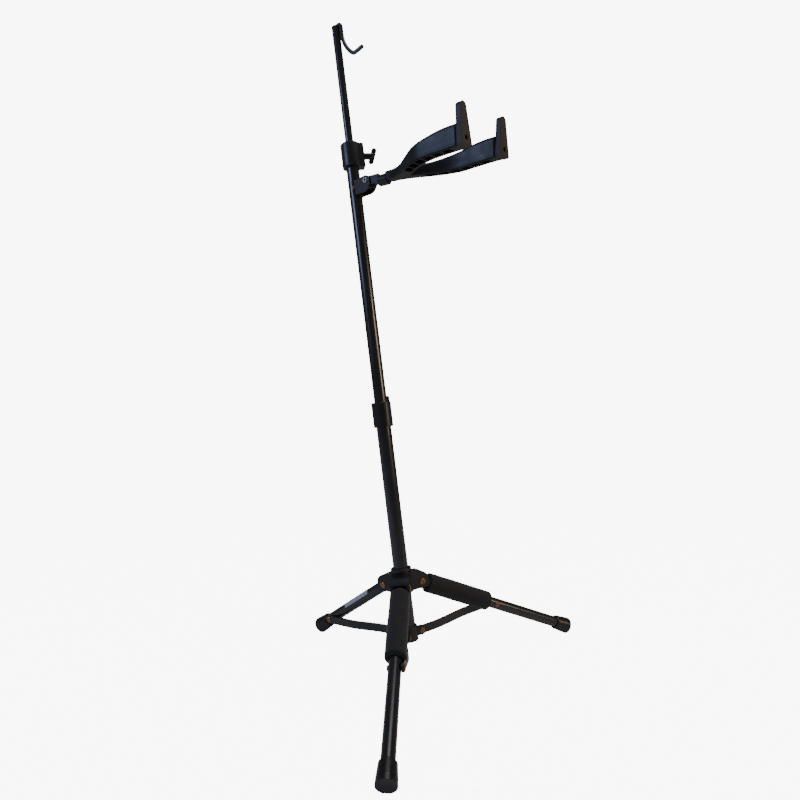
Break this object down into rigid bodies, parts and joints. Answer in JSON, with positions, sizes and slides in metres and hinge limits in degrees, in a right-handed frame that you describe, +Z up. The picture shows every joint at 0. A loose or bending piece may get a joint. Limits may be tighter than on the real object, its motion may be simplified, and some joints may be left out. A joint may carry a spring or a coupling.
{
  "type": "folding instrument stand",
  "caption": "Folding tripod stand with a leaning telescopic pole, a padded neck yoke that hangs the instrument, and a wire hook at the top; it stands empty.",
  "frame": {"origin": "on the floor under the middle of the box around the feet and the pole", "axes": "+Z up; the pole leans back towards +Y and the yoke reaches forward towards -Y; +X is the right-hand side seen from the front"},
  "size_m": [0.5676, 0.389, 1.0925],
  "materials": {
    "tube_paint": "semi-gloss",
    "strut_paint": "satin",
    "moulded_black": "satin",
    "gloss_black": "gloss",
    "rubber_foot": "satin",
    "soft_cover": "satin",
    "lip_rubber": "matte",
    "foam": "matte",
    "brass_rivet": "satin",
    "steel_rivet": "satin",
    "wire_paint": "semi-gloss",
    "guide_plastic": "matte",
    "paper": "matte"
  },
  "bodies": {
    "base": {"outer_tube": "tube_paint", "base_plug": "moulded_black", "clutch_housing": "moulded_black", "clutch_spring": "steel_rivet", "strut_hub": "moulded_black", "strut_hub_rivets": "brass_rivet"},
    "leg_slider": {"leg_hub": "moulded_black", "hub_ring": "moulded_black", "hub_rivets": "brass_rivet"},
    "front_left_leg": {"leg_front_left": "tube_paint", "leg_rivets_front_left": "brass_rivet", "foam_left": "foam", "foot_front_left": "rubber_foot"},
    "front_right_leg": {"leg_front_right": "tube_paint", "leg_rivets_front_right": "brass_rivet", "foam_right": "foam", "foot_front_right": "rubber_foot"},
    "rear_leg": {"leg_rear": "tube_paint", "leg_rivets_rear": "brass_rivet", "foot_rear": "rubber_foot", "leg_label": "paper"},
    "front_left_strut": {"strut_front_left": "strut_paint", "strut_stud_front_left": "brass_rivet"},
    "front_right_strut": {"strut_front_right": "strut_paint", "strut_stud_front_right": "brass_rivet"},
    "rear_strut": {"strut_rear": "strut_paint", "strut_stud_rear": "brass_rivet"},
    "clutch_button": {"release_button": "gloss_black"},
    "clutch_discs": {"clutch_plates": "steel_rivet"},
    "slide_bush": {"guide_bush": "guide_plastic"},
    "pole": {"inner_tube": "tube_paint", "clamp_collar": "moulded_black", "thread_insert": "brass_rivet", "yoke_bracket": "strut_paint", "bracket_rivets": "brass_rivet", "yoke_rivet": "steel_rivet"},
    "clamp_pad": {"pressure_pad": "guide_plastic"},
    "clamp_screw": {"wing_screw": "gloss_black"},
    "rod_slider": {"rod_bush": "guide_plastic"},
    "top_rod": {"hook_rod": "tube_paint", "hook_plug": "moulded_black", "hook": "wire_paint"},
    "yoke_arm": {"yoke_knuckle": "strut_paint"},
    "yoke": {"yoke_frame": "moulded_black", "arm_cover_left": "soft_cover", "arm_cover_right": "soft_cover", "lip_left": "lip_rubber", "lip_right": "lip_rubber", "lip_screws": "steel_rivet"}
  },
  "joints": [
    {"name": "hub_slide", "type": "slide", "parent": "base", "child": "leg_slider", "axis": [0, 0.159, 0.9873], "range_m": [0, 0.18219]},
    {"name": "front_left_leg_fold", "type": "hinge", "parent": "leg_slider", "child": "front_left_leg", "pos_m": [-0.02598, -0.0173, 0.13409], "axis": [0.5, -0.855, 0.1377], "range_deg": [0, 36.3]},
    {"name": "front_right_leg_fold", "type": "hinge", "parent": "leg_slider", "child": "front_right_leg", "pos_m": [0.02598, -0.0173, 0.13409], "axis": [0.5, 0.855, -0.1377], "range_deg": [0, 36.3]},
    {"name": "rear_leg_fold", "type": "hinge", "parent": "leg_slider", "child": "rear_leg", "pos_m": [0, 0.02713, 0.12693], "axis": [-1, 0, 0], "range_deg": [0, 36.3]},
    {"name": "front_left_strut_fold", "type": "hinge", "parent": "base", "child": "front_left_strut", "pos_m": [-0.02053, -0.02732, 0.05203], "axis": [-0.5, 0.855, -0.1377], "range_deg": [0, 54]},
    {"name": "front_right_strut_fold", "type": "hinge", "parent": "base", "child": "front_right_strut", "pos_m": [0.02053, -0.02732, 0.05203], "axis": [-0.5, -0.855, 0.1377], "range_deg": [0, 54]},
    {"name": "rear_strut_fold", "type": "hinge", "parent": "base", "child": "rear_strut", "pos_m": [0, 0.00777, 0.04638], "axis": [1, 0, 0], "range_deg": [0, 54]},
    {"name": "release_press", "type": "slide", "parent": "base", "child": "clutch_button", "axis": [0, -0.159, -0.9873], "range_m": [0, 0.00235], "stiffness_N_per_m": 600, "springref_m": -0.004},
    {"name": "disc_tilt", "type": "hinge", "parent": "base", "child": "clutch_discs", "pos_m": [-0.01003, 0.05405, 0.4259], "axis": [0.6691, 0.7337, -0.1182], "range_deg": [0, 5.05]},
    {"name": "pole_slide", "type": "slide", "parent": "base", "child": "slide_bush", "axis": [0, 0.159, 0.9873], "range_m": [-0.21, 0.08]},
    {"name": "pole_turn", "type": "hinge", "parent": "slide_bush", "child": "pole", "pos_m": [0, 0.06112, 0.52661], "axis": [0, 0.159, 0.9873], "continuous": true},
    {"name": "clamp_pad_slide", "type": "slide", "parent": "pole", "child": "clamp_pad", "axis": [0.766, -0.6346, 0.1022], "range_m": [0, 0.0016]},
    {"name": "clamp_turn", "type": "hinge", "parent": "clamp_pad", "child": "clamp_screw", "pos_m": [0.01685, 0.10062, 0.86078], "axis": [0.766, -0.6346, 0.1022], "range_deg": [0, 540]},
    {"name": "rod_slide", "type": "slide", "parent": "pole", "child": "rod_slider", "axis": [0, 0.159, 0.9873], "range_m": [-0.12, 0.05]},
    {"name": "rod_turn", "type": "hinge", "parent": "rod_slider", "child": "top_rod", "pos_m": [0, 0.12473, 0.92152], "axis": [0, 0.159, 0.9873], "continuous": true},
    {"name": "yoke_fold", "type": "hinge", "parent": "pole", "child": "yoke_arm", "pos_m": [-0.00261, 0.07218, 0.80844], "axis": [-0.9971, 0.0757, -0.0122], "range_deg": [0, 70]},
    {"name": "yoke_roll", "type": "hinge", "parent": "yoke_arm", "child": "yoke", "pos_m": [-0.00522, 0.03226, 0.80444], "axis": [-0.0757, -0.9971, -0.0005], "range_deg": [-17.3, 6.7]}
  ],
  "couplings": [
    {"joint": "front_left_leg_fold", "follows": "hub_slide", "rad_per_m": 3.4487},
    {"joint": "front_right_leg_fold", "follows": "hub_slide", "rad_per_m": 3.4487},
    {"joint": "rear_leg_fold", "follows": "hub_slide", "rad_per_m": 3.4487},
    {"joint": "front_left_strut_fold", "follows": "hub_slide", "rad_per_m": 5.1432},
    {"joint": "front_right_strut_fold", "follows": "hub_slide", "rad_per_m": 5.1432},
    {"joint": "rear_strut_fold", "follows": "hub_slide", "rad_per_m": 5.1432},
    {"joint": "disc_tilt", "follows": "release_press", "rad_per_m": 37.087},
    {"joint": "clamp_pad_slide", "follows": "clamp_turn", "m_per_rad": 0.00015915}
  ]
}
